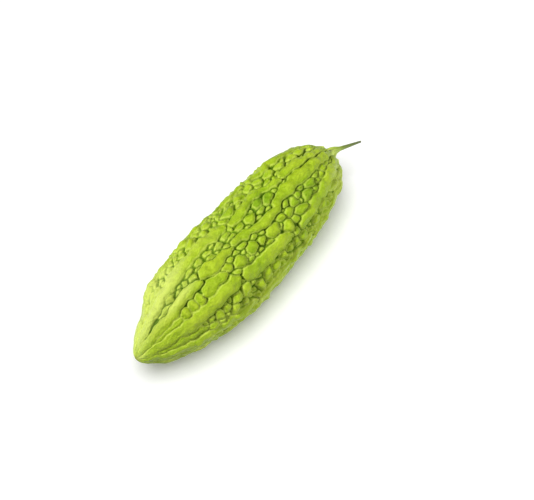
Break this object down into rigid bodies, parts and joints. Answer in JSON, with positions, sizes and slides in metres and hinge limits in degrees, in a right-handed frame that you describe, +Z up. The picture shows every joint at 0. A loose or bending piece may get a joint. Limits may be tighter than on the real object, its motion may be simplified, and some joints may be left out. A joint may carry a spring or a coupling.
{
  "type": "bitter gourd",
  "caption": "Whole bitter gourd lying on its side: a long spindle-shaped fruit with lengthwise ridges and rows of warts between them, a pointed tip and a short cut stem.",
  "frame": {"origin": "on the ground, under the middle of the whole object's box, with the gourd lying on its side", "axes": "+X along the fruit from its blossom tip to its stem, +Z up, +Y completes a right-handed frame"},
  "size_m": [0.2078, 0.0624, 0.0585],
  "materials": {
    "gourd_skin": "waxy, lightly glossy green skin",
    "gourd_stem": "matt, fibrous, pale at its base and dark olive at the cut"
  },
  "bodies": {
    "root": {"fruit": "gourd_skin", "stem": "gourd_stem"}
  },
  "joints": []
}
